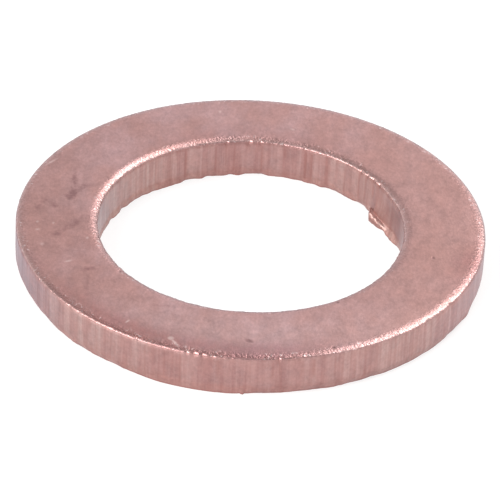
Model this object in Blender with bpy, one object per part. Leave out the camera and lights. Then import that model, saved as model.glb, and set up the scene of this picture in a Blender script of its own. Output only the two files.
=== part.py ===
"""Copper crush washer: a flat ring punched from soft copper sheet, which seals a plug or a banjo bolt.

The ring lies on its lower face, with its axis on Z and that face at Z = 0.
Its walls are sheared, not turned. Going down from the top face, each has a rolled edge that ends in
a crisp corner, a straight land, and a torn band that leans to a ragged foot. One burr is left at
the foot of the bore.
"""

import math
import random
from collections import namedtuple

import bmesh
import bpy

MM = 0.001

# The ring, in a stock size for a 14 mm thread: 22 mm across the outside
BORE_DIAMETER = 14.3 * MM
RING_WIDTH = 3.85 * MM
THICKNESS = 2.0 * MM

# Rolled edges round the top face, where the punch drew the sheet down before it sheared
RIM_ROLL_WIDTH = 0.65 * MM
RIM_ROLL_DEPTH = 0.08 * MM
BORE_ROLL_WIDTH = 0.65 * MM
BORE_ROLL_DEPTH = 0.16 * MM

# Power of the roll's curve: 1 is a straight chamfer, and more starts level and ends in a crisp corner
ROLL_CURVE = 2.2

# Torn bands at the foot of both walls, where the sheet broke away. The rim's leans back under the
# land, and the bore's stands a little into the hole, which a lean below zero gives
RIM_TEAR_HEIGHT = 0.42 * MM
RIM_TEAR_LEAN = 0.15 * MM
BORE_TEAR_HEIGHT = 0.36 * MM
BORE_TEAR_LEAN = -0.05 * MM

# How far the torn surface strays in and out, and the line above it up and down
TEAR_ROUGHNESS = 0.02 * MM
TEAR_LINE_STRAY = 0.04 * MM

# The burr at the foot of the bore: a flap with a blunt end, which tapers out over a long run
BURR_PEAK_ANGLE = math.radians(34)
BURR_BLUNT_RUN = 0.32 * MM
BURR_TAPER_RUN = 2.40 * MM
BURR_REACH = 0.50 * MM
BURR_HEIGHT = 0.28 * MM

# Powers of the burr's curves: 1 is straight, and more stays full for longer
BURR_TAPER_CURVE = 1.4
BURR_SECTION_CURVE = 3

# Waves of the torn surface, in whole turns round the ring so that they close on themselves
SLOWEST_WAVE = 5
FASTEST_WAVE = 56
SEED = 14

STEPS_AROUND = 240
STEPS_IN_ROLL = 5
STEPS_IN_TEAR = 5
SMOOTH_UP_TO = math.radians(35)

COPPER_COLOUR = (0.62, 0.33, 0.27, 1.0)
COPPER_ROUGHNESS = 0.42

Wall = namedtuple("Wall", "radius outward roll_width roll_depth tear_height tear_lean surface line burr")


def clear_scene():
    for item in list(bpy.data.objects):
        bpy.data.objects.remove(item, do_unlink=True)


def make_waves(chooser):
    """Picks a strength and a phase for each wave that fits a whole number of times round the ring."""
    waves = []
    for turns in range(SLOWEST_WAVE, FASTEST_WAVE + 1):
        waves.append((turns, chooser.uniform(-1, 1), chooser.uniform(0, math.tau)))
    return waves


def stray(waves, angle):
    """Adds the waves up at an angle, scaled so that their usual size is 1."""
    total = sum(strength * math.sin(turns * angle + phase) for turns, strength, phase in waves)
    usual = math.sqrt(sum(strength * strength for _, strength, _ in waves) / 2)
    return total / usual


def burr_reach(angle, height):
    """Gives how far the burr stands into the bore: a lip with a square shoulder, blunt at one end only."""
    past_peak = (BURR_PEAK_ANGLE - angle) * BORE_DIAMETER / 2
    run = BURR_TAPER_RUN if past_peak > 0 else BURR_BLUNT_RUN
    share_along = abs(past_peak) / run
    share_up = height / BURR_HEIGHT
    if share_along >= 1 or share_up >= 1:
        return 0.0
    along = 1 - share_along ** BURR_TAPER_CURVE
    up = (1 - share_up ** BURR_SECTION_CURVE) ** (1 / BURR_SECTION_CURVE)
    return BURR_REACH * along * up


def no_burr(angle, height):
    return 0.0


def make_walls():
    """Describes the rim and the bore, each with its own torn pattern."""
    chooser = random.Random(SEED)
    bore_radius = BORE_DIAMETER / 2
    rim_radius = bore_radius + RING_WIDTH
    rim = Wall(rim_radius, 1, RIM_ROLL_WIDTH, RIM_ROLL_DEPTH, RIM_TEAR_HEIGHT, RIM_TEAR_LEAN,
               make_waves(chooser), make_waves(chooser), no_burr)
    bore = Wall(bore_radius, -1, BORE_ROLL_WIDTH, BORE_ROLL_DEPTH, BORE_TEAR_HEIGHT, BORE_TEAR_LEAN,
                make_waves(chooser), make_waves(chooser), burr_reach)
    return rim, bore


def rolled_edge(wall):
    """Gives the section of the rolled edge: it steepens from the top face down to a corner with the land."""
    points = []
    for step in range(STEPS_IN_ROLL + 1):
        share = step / STEPS_IN_ROLL
        inset = wall.roll_width * (1 - share)
        drop = wall.roll_depth * share ** ROLL_CURVE
        points.append((wall.radius - wall.outward * inset, THICKNESS - drop))
    return points


def torn_band(wall, angle):
    """Gives the section of the torn band at an angle, from the land down to the foot."""
    top = wall.tear_height + TEAR_LINE_STRAY * stray(wall.line, angle)
    points = []
    for step in range(STEPS_IN_TEAR + 1):
        share = step / STEPS_IN_TEAR
        height = top * (1 - share)
        roughness = TEAR_ROUGHNESS * share * stray(wall.surface, angle)
        inset = wall.tear_lean * share + roughness - wall.burr(angle, height)
        points.append((wall.radius - wall.outward * inset, height))
    return points


def section_at(walls, angle):
    """Gives the ring's closed section at an angle: down the rim, across the foot and up the bore."""
    rim, bore = walls
    down = rolled_edge(rim) + torn_band(rim, angle)
    up = rolled_edge(bore) + torn_band(bore, angle)
    return down + up[::-1]


def loft_ring(walls):
    """Joins the sections at every step round the axis into one closed skin."""
    skin = bmesh.new()
    loops = []
    for step in range(STEPS_AROUND):
        angle = math.tau * step / STEPS_AROUND
        ray = (math.cos(angle), math.sin(angle))
        section = section_at(walls, angle)
        loop = [skin.verts.new((radius * ray[0], radius * ray[1], height)) for radius, height in section]
        loops.append(loop)
    for near, far in zip(loops, loops[1:] + loops[:1]):
        for low, high in zip(range(len(near)), [*range(1, len(near)), 0]):
            skin.faces.new((near[low], near[high], far[high], far[low]))
    bmesh.ops.recalc_face_normals(skin, faces=skin.faces)
    return skin


def copper():
    material = bpy.data.materials.new("copper")
    material.use_nodes = True
    shader = material.node_tree.nodes["Principled BSDF"]
    shader.inputs["Base Color"].default_value = COPPER_COLOUR
    shader.inputs["Metallic"].default_value = 1.0
    shader.inputs["Roughness"].default_value = COPPER_ROUGHNESS
    return material


def make_washer():
    skin = loft_ring(make_walls())
    mesh = bpy.data.meshes.new("copper_washer")
    skin.to_mesh(mesh)
    skin.free()
    mesh.shade_smooth()
    mesh.set_sharp_from_angle(angle=SMOOTH_UP_TO)
    mesh.materials.append(copper())
    washer = bpy.data.objects.new("copper_washer", mesh)
    bpy.context.collection.objects.link(washer)


clear_scene()
make_washer()
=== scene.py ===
import math
from collections import namedtuple

import bpy
import numpy as np
from mathutils import Matrix, Vector
from mathutils.bvhtree import BVHTree


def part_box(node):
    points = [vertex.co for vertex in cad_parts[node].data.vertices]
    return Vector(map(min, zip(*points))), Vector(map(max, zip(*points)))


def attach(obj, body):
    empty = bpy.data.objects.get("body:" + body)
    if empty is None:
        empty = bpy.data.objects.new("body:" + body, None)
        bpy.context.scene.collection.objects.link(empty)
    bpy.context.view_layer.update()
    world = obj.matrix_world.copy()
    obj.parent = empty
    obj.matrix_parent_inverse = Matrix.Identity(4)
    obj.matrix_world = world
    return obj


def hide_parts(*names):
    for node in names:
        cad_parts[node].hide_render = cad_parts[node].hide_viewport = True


MM = 0.001
NODE = "copper_washer"
SEED = 22

# Camera: the washer's upper face seen from the front, a little turned about the view
CAMERA_DISTANCE = 175 * MM
CAMERA_ELEVATION = math.radians(33.47)
CAMERA_ROLL = math.radians(2.727)
CLIP_FACTOR = 20
SENSOR = 36.0
PICTURE = 500
PIXELS_PER_MM = 21.361
FACE_CENTRE_PIXEL = (250.99, 221.54)

# Studio: a pale surround with dimmer parts. Each is given by where it lies, the angles from there to
# where it is full and where it ends, all in degrees, and the share of the light it takes
SKY = 1.0
Lobe = namedtuple("Lobe", "azimuth elevation core edge depth")
DIM_PARTS = [
    Lobe(112, 57, 12, 30, 0.50),
    Lobe(278, 48, 12, 34, 0.60),
]

# Lights: azimuth and elevation in degrees, distance and size in metres, and brightness
Softbox = namedtuple("Softbox", "name azimuth elevation distance size radiance")
SOFTBOXES = [
    Softbox("softbox_right", 50, 48, 0.60, (0.36, 0.24), 4.3),
    Softbox("strip_left", 217, 30, 0.60, (0.64, 0.38), 4.6),
]

# Floor
FLOOR_REACH = 1.6
FLOOR_ALBEDO = 0.35
FLOOR_ROUGHNESS = 0.9
FLOOR_GLOW = 0.68

# Skin: steps round the ring, and rows in each band of its section
STEPS_AROUND = 1440
ROWS_ACROSS_TOP = 6
ROWS_IN_ROLL = 13
ROWS_IN_LAND = 9
ROWS_IN_TEAR = 9
CAST_STEPS = 240
SMOOTH_UP_TO = math.radians(60)

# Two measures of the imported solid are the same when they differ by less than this
TINY = 0.002 * MM

# Rolled edge: the chamfer left between it and the land, and the powers of its curve and of its rows'
# spacing, which gathers them towards the corner where it is below 1
CORNER = 0.055 * MM
ROLL_CURVE = 2.8
ROLL_SPACING = 0.8

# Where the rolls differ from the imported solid's: angle and spread in degrees, and the shares by which
# the roll is deeper and its corner wider. The power gives each a level middle
TURN_POWER = 4
Turn = namedtuple("Turn", "angle spread deeper wider")
RIM_TURNS = [
    Turn(241.0, 22.0, -0.40, 0.50),
    Turn(284.0, 7.0, -0.40, 0.0),
    Turn(316.0, 14.0, 0.45, 0.0),
]
BORE_TURNS = [
    Turn(66.0, 34.0, -0.30, 0.0),
]

# Fine drag lines that the die left on the lands at random: their depth, how many there are round the
# ring and up the land, the patches in which they are deeper, and how much painted shade lies in them
DRAG_DEPTH = 0.005 * MM
DRAG_CELLS = (200, 380, 640)
DRAG_CELLS_UP = 2
DRAG_PATCHES = 40
DRAG_USUAL = 0.6
DRAG_SWING = 0.5
DRAG_SHADE = 0.22

# Strong drag lines, where the photograph has them: angle and width in degrees, strength, and start and
# end as shares of the way down, with the runs over which they come and go. Each carries painted shade as
# strong as its strength
LINE_DEPTH = 0.020 * MM
LINE_START_RUN = 0.12
LINE_END_RUN = 0.25
Line = namedtuple("Line", "angle width strength start end")
RIM_LINES = [
    Line(232.6, 0.30, 0.5, 0.1, 1.0),
    Line(246.0, 0.35, 0.6, 0.0, 1.0),
    Line(251.0, 0.25, 0.5, 0.0, 0.9),
    Line(254.9, 0.30, 0.7, 0.0, 1.0),
    Line(264.0, 0.50, 1.0, 0.0, 0.7),
    Line(276.7, 0.30, 0.7, 0.0, 0.6),
    Line(278.3, 0.25, 0.6, 0.0, 0.5),
    Line(283.7, 0.45, 0.6, 0.0, 0.8),
    Line(286.4, 0.50, 0.9, 0.0, 0.7),
    Line(291.7, 0.30, 0.5, 0.0, 0.8),
    Line(299.5, 0.30, 0.4, 0.5, 1.0),
    Line(306.0, 0.30, 0.3, 0.0, 0.9),
]
BORE_LINES = [
    Line(136.0, 0.45, 0.6, 0.0, 1.0),
    Line(131.0, 0.40, 0.7, 0.0, 1.0),
    Line(124.0, 0.40, 0.4, 0.0, 1.0),
    Line(117.4, 0.55, 1.0, 0.0, 1.0),
    Line(105.0, 0.45, 0.6, 0.0, 1.0),
    Line(101.0, 0.45, 0.6, 0.0, 0.9),
    Line(97.7, 0.40, 0.7, 0.0, 1.0),
    Line(87.0, 0.45, 0.8, 0.0, 1.0),
    Line(78.0, 0.50, 0.8, 0.0, 0.5),
    Line(69.6, 0.60, 1.2, 0.0, 1.0),
    Line(67.1, 0.55, 1.1, 0.0, 1.0),
    Line(60.5, 0.90, 0.6, 0.0, 1.0),
    Line(52.0, 0.50, 0.4, 0.0, 1.0),
    Line(44.7, 0.50, 0.8, 0.0, 0.9),
    Line(41.0, 0.50, 0.6, 0.0, 0.9),
    Line(36.0, 0.70, 1.2, 0.1, 0.6),
]

# Grain of the rolled edges, which catches the light in specks
ROLL_GRAIN = 0.016 * MM

# Torn bands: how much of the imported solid's stray in and out they keep, and at most how far they go
FOOT_STRAY = 0.35
MOST_STRAY = 0.06 * MM

# Their ragged foot: how far it strays back, in how many steps round the ring, and about which middle
RIM_RAGGED = 0.03 * MM
BORE_RAGGED = 0.07 * MM
FOOT_CELLS = (44, 120)
FOOT_MIDDLE = 0.5

# Their grain: its depth, how many grains there are round the ring and up a wall, and about which middle
TEAR_GRAIN = 0.010 * MM
TEAR_CELLS = (160, 360)
TEAR_CELLS_UP = 26
TEAR_MIDDLE = 0.6

# Painted contact shadow on a foot where it meets the floor: how dark, and over how many rows
FOOT_SHADOW = 0.9
FOOT_ROWS = 2

# Where each foot stands out from its wall or draws back: angle and spread in degrees, and how far
Bulge = namedtuple("Bulge", "angle spread reach")
RIM_BULGES = [
    Bulge(210.0, 8.0, -0.06 * MM),
    Bulge(258.0, 12.0, 0.24 * MM),
    Bulge(269.8, 0.3, 0.16 * MM),
    Bulge(339.0, 5.0, 0.06 * MM),
    Bulge(352.0, 8.0, -0.12 * MM),
]
BORE_BULGES = [
    Bulge(45.0, 5.0, -0.08 * MM),
    Bulge(74.0, 18.0, -0.09 * MM),
    Bulge(128.0, 14.0, 0.06 * MM),
    Bulge(112.0, 2.0, 0.04 * MM),
]

# Corners between roll and land: how far they stray, in how many steps round the ring, the share of the
# finer steps, how much of each cut also lowers the corner, and how many rows it reaches
EDGE_STRAY = 0.010 * MM
EDGE_CELLS = (110, 330)
EDGE_FINE_SHARE = 0.7
EDGE_DROP = 0.7
EDGE_ROWS = 1.6

# On the rim, chance cuts fade from front to back: their share at the sides, and what the front adds
SIDE_CUT = 0.5
FRONT_CUT = 1.2

# Nicks at random in the corners: how many, how deep at most and how wide, and the range of each as shares
NICK_COUNT = 160
NICK_DEPTH = 0.018 * MM
NICK_LEAST = 0.1
NICK_WIDTH = 0.05 * MM
NICK_WIDTHS = (0.6, 1.8)

# Nicks where the photograph has them: angle and width in degrees, and how deep. They carry painted shade,
# which is full from the notch depth on
NOTCH_DEPTH = 0.08 * MM
Nick = namedtuple("Nick", "angle width depth")
RIM_NICKS = [
    Nick(243.5, 0.4, 0.03 * MM),
    Nick(256.4, 0.4, 0.03 * MM),
    Nick(258.2, 0.9, 0.06 * MM),
    Nick(260.2, 0.7, 0.05 * MM),
    Nick(262.4, 0.8, 0.03 * MM),
    Nick(278.0, 0.5, 0.07 * MM),
    Nick(281.6, 0.3, 0.04 * MM),
    Nick(307.5, 0.6, 0.02 * MM),
    Nick(318.6, 0.8, 0.03 * MM),
    Nick(327.8, 0.8, 0.03 * MM),
]
BORE_NICKS = [
    Nick(101.0, 0.8, 0.04 * MM),
    Nick(92.4, 1.2, 0.06 * MM),
    Nick(87.6, 0.6, 0.04 * MM),
    Nick(44.0, 0.8, 0.03 * MM),
    Nick(40.5, 1.0, 0.04 * MM),
    Nick(37.0, 1.0, 0.04 * MM),
    Nick(33.0, 1.2, 0.04 * MM),
]

# The burr at the foot of the bore, at each angle in degrees: how far its flap stands in and how high,
# how far the wall above it swells, and how much of the flap's own section the torn band takes on
Flap = namedtuple("Flap", "angle reach height swell share")
BURR = [
    Flap(4.0, 0.00 * MM, 0.00 * MM, 0.00 * MM, 0.0),
    Flap(12.0, 0.06 * MM, 0.05 * MM, 0.02 * MM, 0.0),
    Flap(19.0, 0.14 * MM, 0.14 * MM, 0.05 * MM, 0.0),
    Flap(22.0, 0.23 * MM, 0.20 * MM, 0.10 * MM, 0.3),
    Flap(25.8, 0.38 * MM, 0.29 * MM, 0.19 * MM, 1.0),
    Flap(29.4, 0.43 * MM, 0.37 * MM, 0.24 * MM, 1.0),
    Flap(32.5, 0.49 * MM, 0.45 * MM, 0.26 * MM, 1.0),
    Flap(34.0, 0.38 * MM, 0.46 * MM, 0.18 * MM, 1.0),
    Flap(36.0, 0.21 * MM, 0.42 * MM, 0.09 * MM, 0.9),
    Flap(38.3, 0.00 * MM, 0.36 * MM, 0.05 * MM, 0.0),
    Flap(42.0, 0.00 * MM, 0.24 * MM, 0.02 * MM, 0.0),
    Flap(46.0, 0.00 * MM, 0.00 * MM, 0.00 * MM, 0.0),
]

# The flap's section, one row of the torn band each: shares of its reach and height, how much painted light
# lies on its fresh metal, and how much painted shade. It runs from the swollen wall over a narrow shelf to
# the lip and down to the foot
Row = namedtuple("Row", "reach height fresh dark")
BURR_ROWS = [
    Row(0.50, 0.93, 0.5, 0.0),
    Row(0.60, 0.93, 1.0, 0.0),
    Row(0.70, 0.93, 1.0, 0.0),
    Row(0.78, 0.94, 1.0, 0.0),
    Row(0.85, 1.00, 0.5, 0.0),
    Row(0.92, 0.92, 0.3, 0.0),
    Row(1.00, 0.78, 0.0, 0.2),
    Row(1.00, 0.40, 0.0, 0.5),
    Row(0.96, 0.00, 0.0, 0.9),
]

# How far up the wall swells above the flap, the power of the swelling's curve, and how much painted shade
# lies on it
BURR_SWELL = 1.0 * MM
SWELL_CURVE = 1.5
SWELL_SHADE = 0.8

# How much the flap's lip strays, which breaks up its glint. The lip's rows lie past both shares
LIP_STRAY = 0.03 * MM
LIP_CELLS = 300
LIP_HEIGHT = 0.9
LIP_REACH = 0.8

# Dull reddish tint on the rolled edges, partly a film on the metal and partly painted shade that dims
# their reflections: angle and spread in degrees, and strength. It is thin on the corner, and on the face's
# outermost rows it fades out by the shares listed
Film = namedtuple("Film", "angle spread strength")
RIM_FILM_AND_SHADE = [
    Film(236.0, 22.0, 1.1),
    Film(272.0, 19.0, 1.2),
    Film(345.0, 8.0, 0.8),
]
BORE_FILM_AND_SHADE = [
    Film(72.0, 26.0, 0.25),
    Film(108.0, 18.0, 0.3),
]
MOST_FILM_AND_SHADE = 1.3
FILM_AND_SHADE_ON_CORNER = 0.3
FILM_AND_SHADE_FADE = (0.6, 0.2)

# Painted shade on part of the bore's land, given in the same way
BORE_SHADE = Film(18.0, 22.0, 1.0)

# Both walls, with all that is their own. Outward is 1 where the metal's outside faces away from the axis
Side = namedtuple("Side", "outward ragged turns lines bulges nicks films")
RIM = Side(1, RIM_RAGGED, RIM_TURNS, RIM_LINES, RIM_BULGES, RIM_NICKS, RIM_FILM_AND_SHADE)
BORE = Side(-1, BORE_RAGGED, BORE_TURNS, BORE_LINES, BORE_BULGES, BORE_NICKS, BORE_FILM_AND_SHADE)

# What the skin tells its material at each point
MASKS = ("roll", "land", "torn", "painted_shade", "front_shade", "film", "fresh")

# How quickly a wall's painted shade grows as it turns towards the camera
FRONT_SHADE_POWER = 3

# Marks on the upper face: centre, length and width in millimetres, turn in degrees, and strength.
# They are laid at the face's height and reach a little way down
FACE_HEIGHT = 2.0 * MM
MARK_DEPTH = 0.5 * MM
Mark = namedtuple("Mark", "x y length width turn strength")
SMUDGES = [
    Mark(-8.47, 2.60, 4.20, 0.50, 90, 0.8),
    Mark(-8.45, 1.68, 1.60, 0.70, 84, 1.1),
    Mark(-8.68, 1.42, 0.70, 0.90, 0, 0.8),
    Mark(-8.00, 2.20, 1.90, 0.62, 51, 0.8),
    Mark(-8.40, -1.05, 3.20, 0.80, 55, 0.9),
    Mark(-7.75, -0.20, 1.20, 0.90, 55, 0.7),
    Mark(-8.97, -1.90, 1.10, 1.00, 30, 0.8),
    Mark(-9.95, 0.35, 0.60, 1.00, 0, 0.7),
    Mark(-9.60, 0.95, 0.90, 0.80, 0, 0.9),
    Mark(-9.27, 0.60, 0.60, 1.00, 0, 0.8),
    Mark(-9.52, 0.15, 0.80, 0.70, 0, 0.5),
    Mark(-8.70, 0.60, 7.50, 3.60, 86, 0.25),
    Mark(-7.80, -3.00, 4.50, 2.60, 62, 0.35),
    Mark(-8.48, -3.20, 1.10, 1.10, 0, 0.5),
    Mark(-7.35, -4.55, 1.10, 0.60, 10, 0.8),
    Mark(-7.30, -5.90, 3.00, 0.34, 90, 0.5),
    Mark(-9.90, -4.00, 3.40, 0.80, 118, 0.5),
    Mark(-3.60, -7.20, 2.40, 0.50, 0, 0.4),
    Mark(-7.70, 4.60, 0.80, 0.60, 0, 0.4),
]
PITS = [
    Mark(0.16, -9.66, 0.60, 0.36, -28, 1.0),
    Mark(3.95, -9.84, 0.24, 0.30, 0, 0.8),
    Mark(4.11, -6.28, 0.22, 0.32, 0, 0.9),
    Mark(8.51, -2.32, 0.20, 0.32, 0, 0.8),
    Mark(-5.87, -4.59, 0.24, 0.34, 0, 0.9),
    Mark(-8.60, 1.20, 0.36, 0.40, 40, 0.6),
    Mark(-7.42, -1.10, 0.26, 0.34, 40, 0.5),
]
SCRATCHES = [
    Mark(-3.33, -9.74, 0.40, 0.38, -60, 1.1),
    Mark(-3.12, -10.08, 1.00, 0.20, -58, 1.1),
    Mark(-2.55, -10.55, 0.45, 0.16, -42, 0.7),
    Mark(-5.33, -8.59, 0.46, 0.16, 58, 0.9),
    Mark(-9.66, 4.38, 1.30, 0.22, 50, 0.7),
    Mark(-7.54, -2.02, 0.20, 0.28, 0, 0.7),
    Mark(-7.02, -2.14, 0.26, 0.28, 0, 0.8),
    Mark(-9.95, -0.85, 0.22, 0.30, 0, 0.6),
    Mark(-9.20, -0.90, 0.18, 0.28, 0, 0.6),
    Mark(-9.90, -1.50, 0.36, 0.26, 30, 0.6),
    Mark(-9.60, -2.70, 0.34, 0.40, 0, 0.5),
    Mark(-8.30, -4.00, 0.60, 0.22, 24, 0.7),
    Mark(-1.77, 9.60, 0.22, 0.32, 0, 0.7),
    Mark(1.80, 8.30, 0.24, 0.44, 60, 0.6),
]

# How ragged the marks' outlines are: the size of the shifts' pattern, and how large they are
SMUDGE_WOBBLE = (0.22 * MM, 0.50 * MM)
PIT_WOBBLE = (0.12 * MM, 0.05 * MM)
SCRATCH_WOBBLE = (0.12 * MM, 0.06 * MM)

# Patterns in the metal: size, detail, squash along each axis, shift and roughness
Pattern = namedtuple("Pattern", "size detail squash shift roughness")
BLOTCH = Pattern(2.2 * MM, 4.0, (1, 0.6, 1), 0.0, 0.5)
MOTTLE = Pattern(0.5 * MM, 6.0, (1, 0.6, 1), 3.7, 0.75)
WARMTH = Pattern(0.6 * MM, 5.0, (1, 0.6, 1), 7.3, 0.65)
SPECKS = Pattern(0.14 * MM, 3.0, (1, 0.6, 1), 2.9, 0.6)
# This one places painted sparkle on the rolled edges
SPARKLES = Pattern(0.13 * MM, 1.0, (1, 0.7, 1), 6.1, 0.5)
GRAIN = Pattern(0.10 * MM, 2.0, (1, 1, 1), 9.1, 0.5)
DUST = Pattern(0.12 * MM, 2.0, (1, 1, 1), 1.3, 0.6)
STREAKS = Pattern(0.10 * MM, 2.0, (1, 1, 0.03), 0.0, 0.5)
WIDE_STREAKS = Pattern(0.35 * MM, 1.0, (1, 1, 0.1), 5.0, 0.5)
BROAD_STREAKS = Pattern(0.40 * MM, 3.0, (1, 1, 0.06), 8.0, 0.6)

# The part of a pattern's range over which it takes effect
MIDDLE = (0.35, 0.65)
MOST = (0.30, 0.70)

# Colours, in linear light
FACE_DEEP = (0.470, 0.264, 0.246, 1)
FACE_PALE = (0.515, 0.316, 0.314, 1)
ROLL_COLOUR = (0.49, 0.275, 0.265, 1)
SIDE_DEEP = (0.440, 0.297, 0.281, 1)
SIDE_PALE = (0.492, 0.351, 0.332, 1)
SIDE_STREAK = (0.475, 0.310, 0.290, 1)
# Painted highlight on the bare corners, painted sparkle on the rolled edges, and painted light on the burr
CORNER_HIGHLIGHT_COLOUR = (0.62, 0.46, 0.44, 1)
SPARKLE_COLOUR = (0.74, 0.60, 0.60, 1)
BURR_LIGHT_COLOUR = (0.72, 0.52, 0.48, 1)
WARM_COLOUR = (0.58, 0.30, 0.26, 1)
SMUDGE_COLOUR = (0.26, 0.13, 0.13, 1)
PIT_COLOUR = (0.16, 0.08, 0.08, 1)
SCRATCH_COLOUR = (0.76, 0.57, 0.54, 1)
# Painted shade in the grooves, nicks, feet and burr, and on part of the bore
PAINTED_SHADE_COLOUR = (0.32, 0.14, 0.12, 1)

# Tints, by which a colour is multiplied
STREAK_DARK = (0.91, 0.82, 0.80, 1)
STREAK_LIGHT = (1.09, 1.09, 1.06, 1)
# Film and painted shade on the rolled edges, to the left and to the right
FILM_AND_SHADE_LEFT = (0.78, 0.64, 0.63, 1)
FILM_AND_SHADE_RIGHT = (0.76, 0.66, 0.68, 1)
# Painted shade on the walls that face the camera
FRONT_SHADE_TINT = (0.83, 0.73, 0.76, 1)
TORN_TINT = (1.02, 0.96, 0.92, 1)
GRAZING_TINT = (0.84, 0.92, 0.99, 1)

# How much of each colour or tint shows where it is strongest
ROLL_SHARE = 0.6
SIDE_STREAK_SHARE = 0.5
TORN_SHARE = 0.8
# Painted highlight on the corners, and painted sparkle
CORNER_HIGHLIGHT_SHARE = 0.6
SPARKLE_SHARE = 0.7
WARM_SHARE = 0.22
SMUDGE_SHARE = 0.80
PIT_SHARE = 0.55
SCRATCH_SHARE = 0.60
# Painted shade
PAINTED_SHADE_SHARE = 0.50
MOTTLE_SWING = 0.30
SPECK_SWING = 0.24

# Painted light and shade across the ring: the face darker to the right and left and paler to the front,
# and the walls tinted to the left and right as painted reflection. Each gives how far out it starts and
# is full, its share, and its colour or tint
Zone = namedtuple("Zone", "start end share colour")
FACE_SHADE_TO_RIGHT = Zone(2.0 * MM, 8.0 * MM, 0.70, (0.437, 0.245, 0.220, 1))
FACE_LIGHT_TO_FRONT = Zone(5.0 * MM, 10.0 * MM, 0.35, (0.53, 0.37, 0.37, 1))
FACE_SHADE_TO_LEFT = Zone(6.5 * MM, 9.5 * MM, 0.6, (0.445, 0.247, 0.225, 1))
SIDE_REFLECTION_TO_LEFT = Zone(7.5 * MM, 10.5 * MM, 1.0, (0.75, 0.69, 0.77, 1))
SIDE_REFLECTION_TO_RIGHT = Zone(7.5 * MM, 10.5 * MM, 1.0, (1.0, 0.89, 0.91, 1))
# Where the film and painted shade turns from its left tint to its right
FILM_AND_SHADE_CHANGE = (-5.0 * MM, -1.0 * MM)

# Gloss: the range of its roughness, how much smoother the corners are and how much rougher the tears
GLOSS = (0.33, 0.43)
CORNER_POLISH = 0.13
TORN_DULLNESS = 0.12

# Depths of the bumps
GRAIN_BUMP = 0.005 * MM
DUST_BUMP = 0.024 * MM
STREAK_BUMP = 0.004 * MM
PIT_BUMP = 0.012 * MM


def look_from_front():
    """Places the camera so that the centre of the upper face falls on its pixel of the picture."""
    low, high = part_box(NODE)
    centre = Vector(((low.x + high.x) / 2, (low.y + high.y) / 2, high.z))
    back = Vector((0, -math.cos(CAMERA_ELEVATION), math.sin(CAMERA_ELEVATION)))
    data = bpy.data.cameras.new("camera")
    data.sensor_width = SENSOR
    data.lens = PIXELS_PER_MM * CAMERA_DISTANCE / MM * SENSOR / PICTURE
    data.shift_x = (PICTURE / 2 - FACE_CENTRE_PIXEL[0]) / PICTURE
    data.shift_y = (FACE_CENTRE_PIXEL[1] - PICTURE / 2) / PICTURE
    data.clip_start = CAMERA_DISTANCE / CLIP_FACTOR
    data.clip_end = CAMERA_DISTANCE * CLIP_FACTOR
    camera = bpy.data.objects.new("camera", data)
    bpy.context.scene.collection.objects.link(camera)
    turn = back.to_track_quat("Z", "Y").to_matrix() @ Matrix.Rotation(CAMERA_ROLL, 3, "Z")
    camera.matrix_world = Matrix.Translation(centre + back * CAMERA_DISTANCE) @ turn.to_4x4()
    bpy.context.scene.camera = camera


def towards(azimuth, elevation):
    """Gives the direction at an azimuth and elevation in degrees. Azimuth 0 is +X, and 90 is behind."""
    azimuth, elevation = math.radians(azimuth), math.radians(elevation)
    level = math.cos(elevation)
    return Vector((math.cos(azimuth) * level, math.sin(azimuth) * level, math.sin(elevation)))


def hang_softbox(box):
    """Adds a soft rectangular light that faces the washer. Its power follows from its brightness."""
    data = bpy.data.lights.new(box.name, "AREA")
    data.shape = "RECTANGLE"
    data.size, data.size_y = box.size
    data.energy = box.radiance * math.pi * box.size[0] * box.size[1]
    light = bpy.data.objects.new(box.name, data)
    bpy.context.scene.collection.objects.link(light)
    away = towards(box.azimuth, box.elevation)
    light.location = away * box.distance
    light.rotation_mode = "QUATERNION"
    light.rotation_quaternion = away.to_track_quat("Z", "Y")


def make_sky():
    """Lights the scene from all round, with its dimmer parts."""
    world = bpy.data.worlds.new("studio")
    world.use_nodes = True
    nodes, links = world.node_tree.nodes, world.node_tree.links
    where = nodes.new("ShaderNodeTexCoord").outputs["Generated"]
    brightness = nodes["Background"].inputs["Strength"]
    for part in DIM_PARTS:
        dot = nodes.new("ShaderNodeVectorMath")
        dot.operation = "DOT_PRODUCT"
        dot.inputs[1].default_value = towards(part.azimuth, part.elevation)
        fall = nodes.new("ShaderNodeMapRange")
        fall.interpolation_type = "SMOOTHSTEP"
        fall.inputs["From Min"].default_value = math.cos(math.radians(part.edge))
        fall.inputs["From Max"].default_value = math.cos(math.radians(part.core))
        fall.inputs["To Min"].default_value = 1
        fall.inputs["To Max"].default_value = 1 - part.depth
        product = nodes.new("ShaderNodeMath")
        product.operation = "MULTIPLY"
        product.inputs[1].default_value = SKY
        links.new(where, dot.inputs[0])
        links.new(dot.outputs["Value"], fall.inputs["Value"])
        links.new(fall.outputs["Result"], product.inputs[0])
        links.new(product.outputs[0], brightness)
        brightness = product.inputs[1]
    nodes["Background"].inputs["Color"].default_value = (1, 1, 1, 1)
    bpy.context.scene.world = world


def light_studio():
    make_sky()
    for box in SOFTBOXES:
        hang_softbox(box)
    bpy.context.scene.view_settings.view_transform = "Standard"
    bpy.context.scene.view_settings.look = "None"


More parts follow.
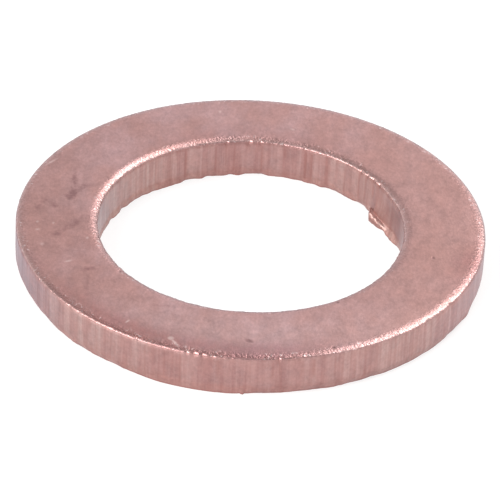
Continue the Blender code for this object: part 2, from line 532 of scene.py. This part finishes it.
def lay_floor():
    mesh = bpy.data.meshes.new("floor")
    reach = FLOOR_REACH
    corners = [(-reach, -reach, 0), (reach, -reach, 0), (reach, reach, 0), (-reach, reach, 0)]
    mesh.from_pydata(corners, [], [(0, 1, 2, 3)])
    floor = bpy.data.objects.new("floor", mesh)
    bpy.context.scene.collection.objects.link(floor)
    material = bpy.data.materials.new("pale_floor")
    material.use_nodes = True
    shader = material.node_tree.nodes["Principled BSDF"]
    shader.inputs["Base Color"].default_value = (FLOOR_ALBEDO, FLOOR_ALBEDO, FLOOR_ALBEDO, 1)
    shader.inputs["Roughness"].default_value = FLOOR_ROUGHNESS
    shader.inputs["Emission Color"].default_value = (1, 1, 1, 1)
    shader.inputs["Emission Strength"].default_value = FLOOR_GLOW
    mesh.materials.append(material)


def smooth(t):
    return t * t * (3 - 2 * t)


def gap_between(angles, at):
    """Gives how far each angle is from another, the short way round, in radians."""
    return (angles - at + math.pi) % math.tau - math.pi


def round_spline(samples, angles):
    """Reads rows of samples, taken at even steps round the ring, at other angles by a smooth closed curve."""
    count = len(samples)
    place = angles / math.tau * count
    step = np.floor(place).astype(int)
    t = (place - step)[:, None]
    before, here, there, after = (samples[(step + shift) % count] for shift in (-1, 0, 1, 2))
    linear = there - before
    square = 2 * before - 5 * here + 4 * there - after
    cube = 3 * here - before - 3 * there + after
    return here + 0.5 * t * (linear + t * (square + t * cube))


def patch_noise(rng, angles, rows, cells_around, cells_up):
    """Gives smooth random values from -1 to 1 for each angle and row, which close on themselves.

    Rows run from 0 to 1 up the band. Few cells up make streaks, and as many as around make grain.
    """
    grid = rng.uniform(-1, 1, (cells_around, cells_up + 2))
    across = angles[:, None] / math.tau * cells_around + np.zeros_like(rows)
    up = rows * cells_up
    i, j = np.floor(across).astype(int), np.floor(up).astype(int)
    u, v = smooth(across - i), smooth(up - j)
    i0, i1 = i % cells_around, (i + 1) % cells_around
    j0, j1 = np.clip(j, 0, cells_up), np.clip(j + 1, 0, cells_up + 1)
    low = grid[i0, j0] * (1 - u) + grid[i1, j0] * u
    high = grid[i0, j1] * (1 - u) + grid[i1, j1] * u
    return low * (1 - v) + high * v


class Ring:
    """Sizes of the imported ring, measured on its vertices."""

    def __init__(self, node):
        points = np.array([v.co for v in node.data.vertices], float)
        self.radius = np.hypot(points[:, 0], points[:, 1])
        self.height = points[:, 2]
        self.angle = np.arctan2(points[:, 1], points[:, 0]) % math.tau
        self.top = self.height.max()
        self.rim = np.abs(points[:, :2]).max()
        upper = self.height > self.top / 2
        self.bore = self.radius[upper].min()
        on_top = self.height > self.top - TINY
        self.rim_flat = self.radius[on_top].max()
        self.bore_flat = self.radius[on_top].min()
        self.rim_land = self.height[np.abs(self.radius - self.rim) < TINY].max()
        self.bore_land = self.height[upper & (np.abs(self.radius - self.bore) < TINY)].max()
        self.tree = BVHTree.FromPolygons(points, [tuple(p.vertices) for p in node.data.polygons])

    def tear_line(self, land_radius, angles):
        """Gives the height at each angle where the land of that radius ends and the torn band starts."""
        picked = (np.abs(self.radius - land_radius) < TINY) & (self.height < self.top / 2)
        order = np.argsort(self.angle[picked])
        return np.interp(angles, self.angle[picked][order], self.height[picked][order], period=math.tau)

    def wall_radius(self, angle, height, outward):
        """Casts a ray level at the wall, from outside or from the axis, and gives the radius it meets."""
        ray = Vector((math.cos(angle), math.sin(angle), 0))
        start = Vector((0, 0, 0))
        if outward > 0:
            start, ray = ray * self.rim * 2, -ray
        start.z = max(height, TINY)
        hit = self.tree.ray_cast(start, ray)[0]
        return math.hypot(hit.x, hit.y)


class Wall:
    """One sheared wall of the skin: radius, height and masks, by angle and row from the flat to the foot."""

    def __init__(self, ring, angles, rng, side):
        self.ring, self.angles, self.rng, self.side = ring, angles, rng, side
        self.outward = side.outward
        if self.outward > 0:
            self.land_radius, self.flat, self.land_top = ring.rim, ring.rim_flat, ring.rim_land
        else:
            self.land_radius, self.flat, self.land_top = ring.bore, ring.bore_flat, ring.bore_land
        self.lay_corner()
        bands = [self.lay_roll(), self.lay_land(), self.lay_tear()]
        self.radius = np.hstack([radius for radius, _ in bands])
        self.height = np.hstack([height for _, height in bands])
        self.lay_masks()
        if self.outward < 0:
            self.add_burr()
            self.add_bore_shade()
        self.add_drag()
        self.add_lines()
        self.add_grain()
        self.add_edge()
        self.height = self.height.clip(0, ring.top)
        if self.outward > 0:
            self.radius = np.minimum(self.radius, ring.rim)

    def near(self, at, spread, power=2):
        """Gives a share at each angle: 1 at a place, fading out over a spread, both in degrees."""
        gap = gap_between(self.angles, math.radians(at))[:, None]
        return np.exp(-(gap / math.radians(spread)) ** power)

    def lay_corner(self):
        """Sets how deep the roll goes and how wide its corner is, at each angle."""
        deep = wide = np.ones((len(self.angles), 1))
        for turn in self.side.turns:
            share = self.near(turn.angle, turn.spread, TURN_POWER)
            deep = deep + turn.deeper * share
            wide = wide + turn.wider * share
        self.corner = CORNER * wide
        self.roll_depth = (self.ring.top - self.land_top) * deep

    def lay_roll(self):
        """Lays the rolled edge from the flat to just short of the land, which leaves a small chamfer."""
        width = self.land_radius - self.flat
        share = np.linspace(0, 1, ROWS_IN_ROLL) ** ROLL_SPACING * (1 - self.corner / abs(width))
        return self.flat + width * share, self.ring.top - self.roll_depth * share ** ROLL_CURVE

    def tear_top(self, angles):
        """Gives the height where the torn band starts. The burr lifts it in the bore."""
        line = self.ring.tear_line(self.land_radius, angles)
        if self.outward > 0:
            return line
        flap = Flap(*np.array(BURR).T)
        return np.maximum(line, np.interp(np.degrees(angles), flap.angle, flap.height))

    def lay_land(self):
        tear = self.tear_top(self.angles)[:, None]
        start = self.ring.top - self.roll_depth - self.corner
        height = start + (tear - start) * np.linspace(0, 1, ROWS_IN_LAND)
        return np.full_like(height, self.land_radius), height

    def lay_tear(self):
        """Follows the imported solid's torn band, smoothed round the ring, down to a finer ragged foot."""
        down = np.linspace(0, 1, ROWS_IN_TEAR + 1)[1:]
        cast_angles = np.arange(CAST_STEPS) * math.tau / CAST_STEPS
        tear = self.tear_top(cast_angles)
        samples = np.array([
            [self.ring.wall_radius(angle, top * (1 - share), self.outward) for share in down]
            for angle, top in zip(cast_angles, tear)
        ])
        plain = np.median(samples, axis=0)
        samples = samples.clip(plain - MOST_STRAY, plain + MOST_STRAY)
        radius = plain + FOOT_STRAY * (round_spline(samples, self.angles) - plain)
        for bulge in self.side.bulges:
            radius += self.outward * bulge.reach * self.near(bulge.angle, bulge.spread) * down
        rows = np.zeros((len(self.angles), 1))
        ragged = sum(patch_noise(self.rng, self.angles, rows, cells, 1) for cells in FOOT_CELLS)
        radius -= self.outward * self.side.ragged * (ragged + FOOT_MIDDLE) * down ** 2
        return radius, round_spline(tear[:, None], self.angles) * (1 - down)

    def rows_mask(self, values, start):
        """Gives a mask over all rows that holds the values from one row on."""
        filled = np.zeros(ROWS_IN_ROLL + ROWS_IN_LAND + ROWS_IN_TEAR)
        filled[start:start + len(values)] = values
        return np.tile(filled, (len(self.angles), 1))

    def lay_masks(self):
        """Tells the bands apart for the material, and starts the masks of its painted shade, painted light,
        and film and shade.
        """
        self.roll = self.rows_mask(np.linspace(0, 1, ROWS_IN_ROLL), 0)
        self.land = self.rows_mask(np.ones(ROWS_IN_LAND), ROWS_IN_ROLL)
        self.torn = self.rows_mask(np.ones(ROWS_IN_TEAR), ROWS_IN_ROLL + ROWS_IN_LAND)
        self.torn[:, -ROWS_IN_TEAR - 1] = 0.5
        self.painted_shade = np.zeros_like(self.radius)
        # Painted contact shadow along the foot
        self.painted_shade[:, -FOOT_ROWS:] = FOOT_SHADOW
        upright = np.maximum(self.roll == 1, np.maximum(self.land, self.torn))
        # Painted shade on the walls, growing as they turn towards the camera
        turned = (-self.outward * np.sin(self.angles)).clip(0, 1)[:, None]
        self.front_shade = upright * turned ** FRONT_SHADE_POWER
        self.fresh = np.zeros_like(self.radius)
        self.film = self.spread_film_and_shade()

    def spread_film_and_shade(self):
        """Gives where the film and painted shade lie: on the rolled edge, near the angles listed, and thin on
        its corner.
        """
        across = self.rows_mask(np.ones(ROWS_IN_ROLL), 0)
        across[:, ROWS_IN_ROLL - 1] = FILM_AND_SHADE_ON_CORNER
        total = sum(film.strength * self.near(film.angle, film.spread) for film in self.side.films)
        return across * total.clip(0, MOST_FILM_AND_SHADE)

    def add_burr(self):
        """Draws the torn band out into the burr's flap, with painted light on its shelf and lip, and painted
        shade on its face below and on the swollen wall above.
        """
        flap = Flap(*np.array(BURR).T)
        degrees = np.degrees(self.angles)[:, None]
        reach = np.interp(degrees, flap.angle, flap.reach)
        tall = np.interp(degrees, flap.angle, flap.height)
        present = smooth(np.interp(degrees, flap.angle, flap.share))
        rows = Row(*np.array(BURR_ROWS).T[:, None, :])
        lip = (rows.height > LIP_HEIGHT) * (rows.reach > LIP_REACH)
        stray = LIP_STRAY * patch_noise(self.rng, self.angles, np.zeros_like(degrees), LIP_CELLS, 1)
        band = np.s_[:, -ROWS_IN_TEAR:]
        self.height[band] += (tall * rows.height - self.height[band]) * present
        self.height[band] += stray * lip * present
        inset = np.interp(degrees, flap.angle, flap.swell)
        inset = inset * (1 - (self.height - tall) / BURR_SWELL).clip(0, 1) ** SWELL_CURVE
        inset[band] = np.maximum(inset[band], reach * rows.reach)
        self.radius -= inset
        self.painted_shade += SWELL_SHADE * inset / flap.reach.max() * self.land
        self.fresh[band] = rows.fresh * present
        self.painted_shade[band] += rows.dark * present

    def add_bore_shade(self):
        """Paints shade on the land over part of the bore."""
        self.painted_shade += BORE_SHADE.strength * self.near(BORE_SHADE.angle, BORE_SHADE.spread) * self.land

    def add_drag(self):
        """Cuts the fine drag lines into the land, with painted shade in their deeper parts."""
        rows = self.height / self.ring.top
        total = sum(patch_noise(self.rng, self.angles, rows, cells, DRAG_CELLS_UP) for cells in DRAG_CELLS)
        uneven = DRAG_USUAL + DRAG_SWING * patch_noise(self.rng, self.angles, rows, DRAG_PATCHES, 1)
        depth = (total + 1).clip(0) * uneven
        self.painted_shade += DRAG_SHADE * np.clip(depth - 1, 0, 2) * self.land
        self.radius -= self.outward * DRAG_DEPTH * depth * self.land

    def add_lines(self):
        """Cuts the strong drag lines, each over its own share of the way down, with painted shade along them.
        """
        down = (self.land_top - self.height) / self.land_top
        for line in self.side.lines:
            start = smooth(((down - line.start) / LINE_START_RUN).clip(0, 1))
            end = smooth(((line.end - down) / LINE_END_RUN).clip(0, 1))
            across = line.strength * self.near(line.angle, line.width)
            cut = across * start * end * np.maximum(self.land, self.torn)
            self.painted_shade += cut
            self.radius -= self.outward * LINE_DEPTH * cut

    def add_grain(self):
        """Roughens the rolled edge and the torn band."""
        self.height -= ROLL_GRAIN * self.rng.uniform(0, 1, self.height.shape) * np.sqrt(self.roll)
        rows = np.linspace(0, 1, self.radius.shape[1]) + np.zeros((len(self.angles), 1))
        total = sum(patch_noise(self.rng, self.angles, rows, cells, TEAR_CELLS_UP) for cells in TEAR_CELLS)
        self.radius -= self.outward * TEAR_GRAIN * (total + TEAR_MIDDLE).clip(0) * self.torn

    def chance_cut(self):
        """Gives how far chance cuts back the corner at each angle. The back of the rim stays whole."""
        rows = np.zeros((len(self.angles), 1))
        coarse, fine = (patch_noise(self.rng, self.angles, rows, cells, 1) for cells in EDGE_CELLS)
        cut = EDGE_STRAY * (coarse + EDGE_FINE_SHARE * fine)
        for _ in range(NICK_COUNT):
            gap = gap_between(self.angles, self.rng.uniform(0, math.tau))[:, None]
            width = NICK_WIDTH * self.rng.uniform(*NICK_WIDTHS)
            depth = NICK_DEPTH * self.rng.uniform(NICK_LEAST, 1) ** 2
            cut += depth * np.exp(-(gap * self.land_radius / width) ** 2)
        if self.outward > 0:
            cut *= smooth((SIDE_CUT - FRONT_CUT * np.sin(self.angles)).clip(0, 1))[:, None]
        return cut

    def add_edge(self):
        """Lets the corner between roll and land stray, and nicks it where chance or the list says, with
        painted shade in the listed nicks.
        """
        cut = self.chance_cut()
        notch = sum(nick.depth * self.near(nick.angle, nick.width) for nick in self.side.nicks)
        cut = cut + notch
        rows = np.arange(self.radius.shape[1])
        close = np.exp(-((rows - ROWS_IN_ROLL + 0.5) / EDGE_ROWS) ** 2)
        self.radius -= self.outward * cut * close
        self.height -= EDGE_DROP * cut * close
        self.painted_shade += (notch / NOTCH_DEPTH).clip(0, 1) * close


def join_bands(top, rim, under, bore):
    """Puts the bands' rows in the order of the closed section: over the face, down the rim, up the bore."""
    return np.hstack([top, rim, under, bore[:, ::-1]])


def place_points(ring, angles, rim, bore):
    """Gives the skin's points, one row of the grid for each angle."""
    across = np.linspace(0, 1, ROWS_ACROSS_TOP + 2)[1:-1]
    top_radius = np.tile(ring.bore_flat + (ring.rim_flat - ring.bore_flat) * across, (len(angles), 1))
    under_radius = (rim.radius[:, -1:] + bore.radius[:, -1:]) / 2
    radius = join_bands(top_radius, rim.radius, under_radius, bore.radius)
    top_height, under_height = np.full_like(top_radius, ring.top), np.zeros_like(under_radius)
    height = join_bands(top_height, rim.height, under_height, bore.height)
    x, y = radius * np.cos(angles)[:, None], radius * np.sin(angles)[:, None]
    return np.stack([x, y, height], -1)


def join_faces(steps, rows):
    """Gives the faces of a grid that closes on itself both round the ring and round its section."""
    here = np.arange(steps * rows).reshape(steps, rows)
    there = np.roll(here, -1, axis=0)
    next_here, next_there = np.roll(here, -1, axis=1), np.roll(there, -1, axis=1)
    return np.stack([here, next_here, next_there, there], -1).reshape(-1, 4)


def lay_mask(rim, bore, name):
    """Gives one mask over the whole skin. Only the film and painted shade goes on over the face, where it
    fades out.
    """
    top, under = np.zeros((STEPS_AROUND, ROWS_ACROSS_TOP)), np.zeros((STEPS_AROUND, 1))
    if name == "film":
        for row, share in enumerate(FILM_AND_SHADE_FADE):
            top[:, -1 - row] = rim.film[:, 0] * share
            top[:, row] = bore.film[:, 0] * share
    return join_bands(top, getattr(rim, name), under, getattr(bore, name))


def build_skin(ring, rng):
    angles = np.arange(STEPS_AROUND) * math.tau / STEPS_AROUND
    rim = Wall(ring, angles, rng, RIM)
    bore = Wall(ring, angles, rng, BORE)
    points = place_points(ring, angles, rim, bore)
    faces = join_faces(*points.shape[:2])
    mesh = bpy.data.meshes.new("washer_skin")
    mesh.from_pydata(points.reshape(-1, 3).tolist(), [], faces.tolist())
    for name in MASKS:
        layer = mesh.attributes.new(name, "FLOAT", "POINT")
        layer.data.foreach_set("value", lay_mask(rim, bore, name).astype(np.float32).ravel())
    mesh.shade_smooth()
    mesh.set_sharp_from_angle(angle=SMOOTH_UP_TO)
    mesh.update()
    skin = bpy.data.objects.new("washer_skin", mesh)
    bpy.context.scene.collection.objects.link(skin)
    return skin


class Shading:
    """Builds a material's node tree. Each call adds what it needs and gives the output."""

    def __init__(self, name):
        self.material = bpy.data.materials.new(name)
        self.material.use_nodes = True
        self.tree = self.material.node_tree
        self.shader = self.tree.nodes["Principled BSDF"]
        self.place = self.node("ShaderNodeTexCoord").outputs["Object"]

    def node(self, kind, values=(), **settings):
        made = self.tree.nodes.new(kind)
        for name, value in settings.items():
            setattr(made, name, value)
        for key, value in dict(values).items():
            self.feed(made.inputs[key], value)
        return made

    def feed(self, socket, value):
        """Links an output to a socket, or sets the socket to a constant."""
        if isinstance(value, bpy.types.NodeSocket):
            self.tree.links.new(value, socket)
        else:
            socket.default_value = value

    def along(self, axis):
        """Gives a place's own coordinate along one axis."""
        return self.node("ShaderNodeSeparateXYZ", {0: self.place}).outputs[axis]

    def attribute(self, name):
        return self.node("ShaderNodeAttribute", attribute_name=name).outputs["Fac"]

    def math(self, operation, first, second=0.0):
        return self.node("ShaderNodeMath", {0: first, 1: second}, operation=operation).outputs[0]

    def times(self, first, second):
        return self.math("MULTIPLY", first, second)

    def vector(self, operation, values):
        return self.node("ShaderNodeVectorMath", values, operation=operation).outputs[0]

    def pattern(self, wanted):
        """Gives noise with features of the wanted size, drawn out along an axis where squash is small."""
        values = {"Vector": self.place, "Scale": Vector(wanted.squash) / wanted.size,
                  "Location": (wanted.shift,) * 3}
        placed = self.node("ShaderNodeMapping", values).outputs[0]
        values = {"Vector": placed, "Scale": 1.0, "Detail": wanted.detail, "Roughness": wanted.roughness}
        return self.node("ShaderNodeTexNoise", values).outputs["Fac"]

    def fade(self, value, low, high, to_low=0.0, to_high=1.0):
        """Turns a value into a share that rises smoothly between two levels."""
        values = {"Value": value, "From Min": low, "From Max": high, "To Min": to_low, "To Max": to_high}
        return self.node("ShaderNodeMapRange", values, interpolation_type="SMOOTHSTEP").outputs["Result"]

    def mix(self, share, first, second, blend="MIX"):
        made = self.node("ShaderNodeMix", data_type="RGBA", blend_type=blend)
        for place, value in ((0, share), (6, first), (7, second)):
            self.feed(made.inputs[place], value)
        return made.outputs[2]

    def tint(self, share, colour, by):
        """Multiplies a colour by a tint, as far as the share says."""
        return self.mix(share, colour, by, "MULTIPLY")

    def tone(self, value, swing):
        """Turns a value about 0.5 into a grey about 1 that swings by the given share."""
        level = self.math("ADD", self.times(value, 2 * swing), 1 - swing)
        return self.node("ShaderNodeCombineColor", {0: level, 1: level, 2: level}).outputs[0]

    def wobble(self, size, amount):
        """Gives small random shifts that make a mark's outline ragged."""
        placed = self.vector("SCALE", {0: self.place, "Scale": 1 / size})
        noise = self.node("ShaderNodeTexNoise", {"Vector": placed, "Scale": 1.0, "Detail": 4.0})
        level = self.vector("SUBTRACT", {0: noise.outputs["Color"], 1: (0.5, 0.5, 0.5)})
        return self.vector("SCALE", {0: level, "Scale": amount})

    def marks(self, listed, wobble):
        """Gives where a list of marks lies on the upper face: 1 at their middles, 0 outside."""
        place = self.vector("ADD", {0: self.place, 1: self.wobble(*wobble)})
        total = 0.0
        for mark in listed:
            values = {
                "Vector": place,
                "Location": (mark.x * MM, mark.y * MM, FACE_HEIGHT),
                "Scale": (mark.length / 2 * MM, mark.width / 2 * MM, MARK_DEPTH),
                "Rotation": (0, 0, math.radians(mark.turn)),
            }
            placed = self.node("ShaderNodeMapping", values, vector_type="TEXTURE").outputs[0]
            ball = self.node("ShaderNodeTexGradient", {"Vector": placed}, gradient_type="SPHERICAL")
            total = self.math("MAXIMUM", self.times(ball.outputs["Fac"], mark.strength), total)
        return total

    def bump(self, height, depth, normal=None):
        made = self.node("ShaderNodeBump", {"Height": height, "Distance": depth, "Strength": 1.0})
        if normal is not None:
            self.feed(made.inputs["Normal"], normal)
        return made.outputs["Normal"]


class Copper(Shading):
    """The washer's copper, from its patterns, its marks and the skin's masks."""

    def __init__(self):
        super().__init__("copper")
        self.mask = {name: self.attribute(name) for name in MASKS}
        self.wall = self.math("MINIMUM", self.math("ADD", self.mask["land"], self.mask["torn"]), 1.0)
        self.right = self.along("X")
        self.left = self.times(self.right, -1.0)
        self.front = self.times(self.along("Y"), -1.0)
        self.mottle = self.pattern(MOTTLE)
        self.warmth = self.pattern(WARMTH)
        self.streaks = self.pattern(STREAKS)
        self.pits = self.marks(PITS, PIT_WOBBLE)
        self.feed(self.shader.inputs["Base Color"], self.colour())
        self.feed(self.shader.inputs["Roughness"], self.roughness())
        self.feed(self.shader.inputs["Normal"], self.normal())
        self.shader.inputs["Metallic"].default_value = 1.0
        self.shader.inputs["Specular Tint"].default_value = GRAZING_TINT

    def colour(self):
        colour = self.mix(self.wall, self.face(), self.sides())
        colour = self.under_film_and_shade(colour)
        # Painted shade on the walls turned towards the camera
        colour = self.tint(self.mask["front_shade"], colour, FRONT_SHADE_TINT)
        colour = self.tint(self.times(self.mask["torn"], TORN_SHARE), colour, TORN_TINT)
        # Painted highlights and sparkle, and painted light on the burr
        colour = self.paint_highlights(colour)
        colour = self.mottled(colour)
        return self.marked(colour)

    def change(self, colour, way, zone):
        """Changes a colour towards one side of the ring, as painted light and shade."""
        return self.mix(self.fade(way, zone.start, zone.end, 0, zone.share), colour, zone.colour)

    def face(self):
        """Gives the upper face's colour, with painted shade and light towards its sides, and the rolled
        edges'.
        """
        colour = self.mix(self.fade(self.pattern(BLOTCH), *MIDDLE), FACE_DEEP, FACE_PALE)
        colour = self.change(colour, self.right, FACE_SHADE_TO_RIGHT)
        colour = self.change(colour, self.front, FACE_LIGHT_TO_FRONT)
        colour = self.change(colour, self.left, FACE_SHADE_TO_LEFT)
        return self.mix(self.times(self.mask["roll"], ROLL_SHARE), colour, ROLL_COLOUR)

    def sides(self):
        """Gives the walls' colour, streaked from top to foot, with painted reflection tints to the left and
        right.
        """
        colour = self.mix(self.fade(self.streaks, *MOST), SIDE_DEEP, SIDE_PALE)
        wide = self.fade(self.pattern(WIDE_STREAKS), *MIDDLE, 0, SIDE_STREAK_SHARE)
        colour = self.mix(wide, colour, SIDE_STREAK)
        broad = self.mix(self.fade(self.pattern(BROAD_STREAKS), *MIDDLE), STREAK_DARK, STREAK_LIGHT)
        colour = self.tint(1.0, colour, broad)
        for way, zone in ((self.left, SIDE_REFLECTION_TO_LEFT), (self.right, SIDE_REFLECTION_TO_RIGHT)):
            colour = self.tint(self.fade(way, zone.start, zone.end, 0, zone.share), colour, zone.colour)
        return colour

    def under_film_and_shade(self, colour):
        """Lays the film and painted shade over the rolled edges, in patches."""
        tint = self.mix(self.fade(self.right, *FILM_AND_SHADE_CHANGE), FILM_AND_SHADE_LEFT, FILM_AND_SHADE_RIGHT)
        patchy = self.times(self.mask["film"], self.fade(self.mottle, 0.35, 0.60, 0.55, 1.0))
        return self.tint(self.math("MINIMUM", patchy, 1.0), colour, tint)

    def paint_highlights(self, colour):
        """Paints highlights on the corners where no film and shade is, painted sparkle in specks on the
        rolled edges, and painted light on the burr's fresh metal.
        """
        bare = self.math("SUBTRACT", 1.0, self.math("MINIMUM", self.mask["film"], 1.0))
        corner = self.times(self.math("POWER", self.mask["roll"], 4.0), bare)
        colour = self.mix(self.times(corner, CORNER_HIGHLIGHT_SHARE), colour, CORNER_HIGHLIGHT_COLOUR)
        sparkle = self.fade(self.pattern(SPARKLES), 0.60, 0.68, 0, SPARKLE_SHARE)
        sparkle = self.times(sparkle, self.fade(self.mask["roll"], 0.1, 0.6))
        sparkle = self.times(sparkle, self.fade(self.warmth, 0.45, 0.55))
        colour = self.mix(sparkle, colour, SPARKLE_COLOUR)
        return self.mix(self.mask["fresh"], colour, BURR_LIGHT_COLOUR)

    def mottled(self, colour):
        """Varies the brightness in two sizes of pattern, and the hue in one."""
        colour = self.tint(1.0, colour, self.tone(self.mottle, MOTTLE_SWING))
        colour = self.tint(1.0, colour, self.tone(self.pattern(SPECKS), SPECK_SWING))
        return self.mix(self.fade(self.warmth, *MOST, 0, WARM_SHARE), colour, WARM_COLOUR)

    def marked(self, colour):
        """Lays on the smudges, pits and scratches, and the painted shade in grooves, nicks, feet, the burr
        and part of the bore.
        """
        smudges = self.marks(SMUDGES, SMUDGE_WOBBLE)
        smudges = self.times(smudges, self.fade(self.warmth, 0.35, 0.60, 0.3, 1.4))
        colour = self.mix(self.fade(smudges, 0.0, 1.3, 0, SMUDGE_SHARE), colour, SMUDGE_COLOUR)
        colour = self.mix(self.fade(self.pits, 0.0, 0.7, 0, PIT_SHARE), colour, PIT_COLOUR)
        scratches = self.marks(SCRATCHES, SCRATCH_WOBBLE)
        colour = self.mix(self.fade(scratches, 0.0, 0.8, 0, SCRATCH_SHARE), colour, SCRATCH_COLOUR)
        painted_shade = self.math("MINIMUM", self.mask["painted_shade"], 1.0)
        return self.mix(self.times(painted_shade, PAINTED_SHADE_SHARE), colour, PAINTED_SHADE_COLOUR)

    def roughness(self):
        level = self.fade(self.mottle, *MOST, *GLOSS)
        polish = self.times(self.math("POWER", self.mask["roll"], 2.0), CORNER_POLISH)
        level = self.math("SUBTRACT", level, polish)
        return self.math("ADD", level, self.times(self.mask["torn"], TORN_DULLNESS))

    def normal(self):
        """Gives the finest relief: grain all over, dust on the rolls, streaks on the walls, and pits."""
        normal = self.bump(self.pattern(GRAIN), GRAIN_BUMP)
        dust = self.times(self.pattern(DUST), self.fade(self.mask["roll"], 0.0, 0.6))
        normal = self.bump(dust, DUST_BUMP, normal)
        normal = self.bump(self.times(self.streaks, self.wall), STREAK_BUMP, normal)
        return self.bump(self.times(self.pits, -1.0), PIT_BUMP, normal)


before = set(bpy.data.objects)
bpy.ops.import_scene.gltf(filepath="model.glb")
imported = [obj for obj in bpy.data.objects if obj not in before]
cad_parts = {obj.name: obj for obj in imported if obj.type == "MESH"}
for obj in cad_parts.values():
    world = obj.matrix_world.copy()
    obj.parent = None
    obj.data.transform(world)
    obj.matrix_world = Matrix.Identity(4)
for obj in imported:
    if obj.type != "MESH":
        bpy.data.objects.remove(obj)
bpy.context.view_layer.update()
look_from_front()
light_studio()
lay_floor()

skin = build_skin(Ring(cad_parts[NODE]), np.random.default_rng(SEED))
skin.data.materials.append(Copper().material)
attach(skin, "root")
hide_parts(NODE)
